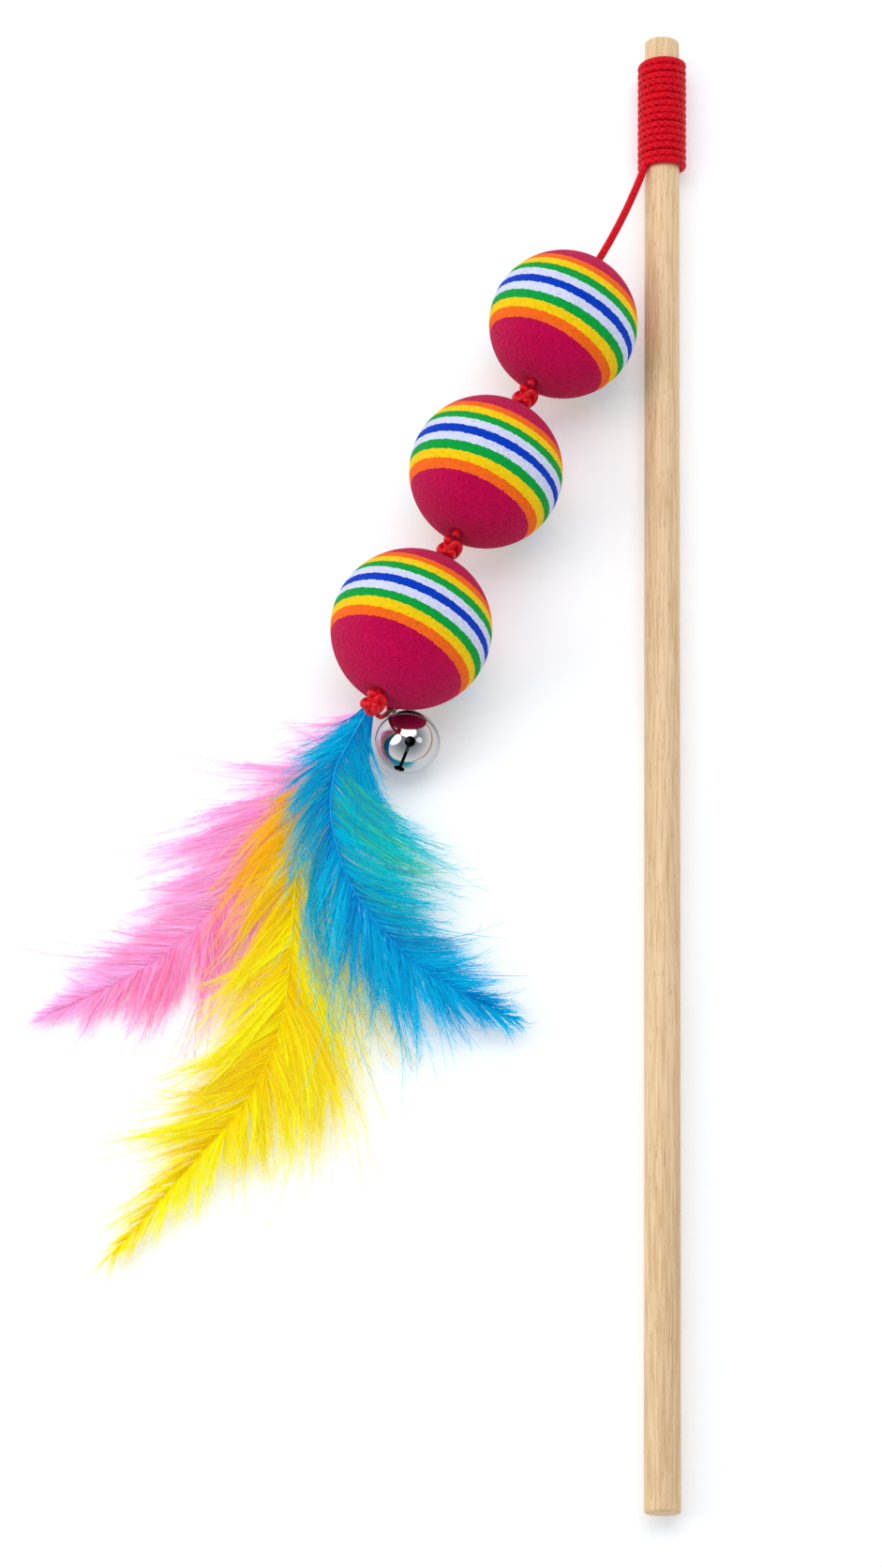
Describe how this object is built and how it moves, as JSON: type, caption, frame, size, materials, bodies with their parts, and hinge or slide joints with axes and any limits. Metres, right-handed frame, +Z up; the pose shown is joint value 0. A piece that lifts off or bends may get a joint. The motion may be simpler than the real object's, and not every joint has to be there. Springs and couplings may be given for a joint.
{
  "type": "cat teaser wand",
  "caption": "Straight wooden wand with a wound red cord that carries striped foam balls, a small round bell and a spray of coloured feathers, for teasing a cat.",
  "frame": {"origin": "centre of the stick's butt face, on the stick's axis", "axes": "+Y along the stick from butt to tip; +Z up from the table that the toy lies on; the balls and feathers lie on the -X side"},
  "size_m": [0.1713, 0.406, 0.0428],
  "materials": {
    "wood": "sanded, unvarnished",
    "cord_red": "waxed braided cord",
    "foam_magenta": "soft foam, matt",
    "foam_orange": "soft foam, matt",
    "foam_yellow": "soft foam, matt",
    "foam_green": "soft foam, matt",
    "foam_white": "soft foam, matt",
    "foam_blue": "soft foam, matt",
    "bright_steel": "polished nickel plate",
    "feather_blue": "dyed feather",
    "feather_yellow": "dyed feather",
    "feather_pink": "dyed feather"
  },
  "bodies": {
    "wand": {"dowel": "wood", "cord_winding": "cord_red"},
    "lead_root": {"lead_root": "cord_red"},
    "lead": {"cord_lead": "cord_red"},
    "cord_1": {"ball_cord_1": "cord_red"},
    "ball_1": {"ball_1_caps": "foam_magenta", "ball_1_orange": "foam_orange", "ball_1_yellow": "foam_yellow", "ball_1_green": "foam_green", "ball_1_white": "foam_white", "ball_1_blue": "foam_blue"},
    "cord_2": {"ball_cord_2": "cord_red"},
    "ball_2": {"ball_2_caps": "foam_magenta", "ball_2_orange": "foam_orange", "ball_2_yellow": "foam_yellow", "ball_2_green": "foam_green", "ball_2_white": "foam_white", "ball_2_blue": "foam_blue"},
    "cord_3": {"ball_cord_3": "cord_red"},
    "ball_3": {"ball_3_caps": "foam_magenta", "ball_3_orange": "foam_orange", "ball_3_yellow": "foam_yellow", "ball_3_green": "foam_green", "ball_3_white": "foam_white", "ball_3_blue": "foam_blue"},
    "knot_1": {"knot_1": "cord_red"},
    "knot_2": {"knot_2": "cord_red"},
    "end_knot": {"end_knot": "cord_red", "bell_tie": "cord_red"},
    "jump_ring": {"jump_ring": "bright_steel"},
    "bell": {"bell_crown": "bright_steel", "bell_base": "bright_steel"},
    "pellet": {"bell_pellet": "bright_steel"},
    "feather_blue": {"feather_blue": "feather_blue"},
    "feather_yellow": {"feather_yellow": "feather_yellow"},
    "feather_pink": {"feather_pink": "feather_pink"}
  },
  "joints": [
    {"name": "lead_swing", "type": "hinge", "parent": "wand", "child": "lead_root", "pos_m": [-0.0064, 0.36564, 0], "axis": [0, 0, 1], "range_deg": [-90, 6]},
    {"name": "lead_lift", "type": "hinge", "parent": "lead_root", "child": "lead", "pos_m": [-0.00757, 0.36279, 0.00095], "axis": [-0.9259, 0.3778, 0], "range_deg": [-60, 60]},
    {"name": "ball_1_nod", "type": "hinge", "parent": "lead", "child": "cord_1", "pos_m": [-0.01864, 0.33564, 0.00995], "axis": [-0.9048, 0.4258, 0], "range_deg": [-45, 45]},
    {"name": "ball_1_spin", "type": "hinge", "parent": "cord_1", "child": "ball_1", "pos_m": [-0.02717, 0.31752, 0.0133], "axis": [-0.4199, -0.8924, 0.165], "continuous": true},
    {"name": "knot_1_swing", "type": "hinge", "parent": "cord_1", "child": "knot_1", "pos_m": [-0.03727, 0.29653, 0.01355], "axis": [0, 0, 1], "range_deg": [-30, 8]},
    {"name": "knot_1_nod", "type": "hinge", "parent": "knot_1", "child": "cord_2", "pos_m": [-0.03727, 0.29653, 0.01355], "axis": [-0.9011, 0.4337, 0], "range_deg": [-30, 30]},
    {"name": "ball_2_spin", "type": "hinge", "parent": "cord_2", "child": "ball_2", "pos_m": [-0.04759, 0.27509, 0.0138], "axis": [-0.3698, -0.9107, 0.1839], "continuous": true},
    {"name": "knot_2_swing", "type": "hinge", "parent": "cord_2", "child": "knot_2", "pos_m": [-0.05708, 0.25326, 0.01424], "axis": [0, 0, 1], "range_deg": [-30, 12]},
    {"name": "knot_2_nod", "type": "hinge", "parent": "knot_2", "child": "cord_3", "pos_m": [-0.05708, 0.25326, 0.01424], "axis": [-0.9171, 0.3987, 0], "range_deg": [-30, 30]},
    {"name": "ball_3_spin", "type": "hinge", "parent": "cord_3", "child": "ball_3", "pos_m": [-0.06693, 0.23062, 0.0147], "axis": [-0.3907, -0.8943, 0.2181], "continuous": true},
    {"name": "end_swing", "type": "hinge", "parent": "cord_3", "child": "end_knot", "pos_m": [-0.07658, 0.20853, 0.02009], "axis": [0, 0, 1], "range_deg": [-20, 0]},
    {"name": "ring_swing", "type": "hinge", "parent": "end_knot", "child": "jump_ring", "pos_m": [-0.07194, 0.21185, 0.00136], "axis": [-0.7461, -0.4082, -0.5261], "range_deg": [-12, 0]},
    {"name": "bell_swing", "type": "hinge", "parent": "jump_ring", "child": "bell", "pos_m": [-0.06663, 0.21005, -0.00477], "axis": [-0.7461, -0.4082, -0.5261], "range_deg": [-60, 0]},
    {"name": "pellet_slide", "type": "slide", "parent": "bell", "child": "pellet", "axis": [0, 0, 1], "range_m": [0, 0.0105]},
    {"name": "feather_blue_sway", "type": "hinge", "parent": "end_knot", "child": "feather_blue", "pos_m": [-0.07658, 0.20853, 0.02009], "axis": [0, 0, 1], "range_deg": [-8, 4]},
    {"name": "feather_yellow_sway", "type": "hinge", "parent": "end_knot", "child": "feather_yellow", "pos_m": [-0.07658, 0.20853, 0.02009], "axis": [0, 0, 1], "range_deg": [-8, 4]},
    {"name": "feather_pink_sway", "type": "hinge", "parent": "end_knot", "child": "feather_pink", "pos_m": [-0.07658, 0.20853, 0.02009], "axis": [0, 0, 1], "range_deg": [-8, 4]}
  ]
}
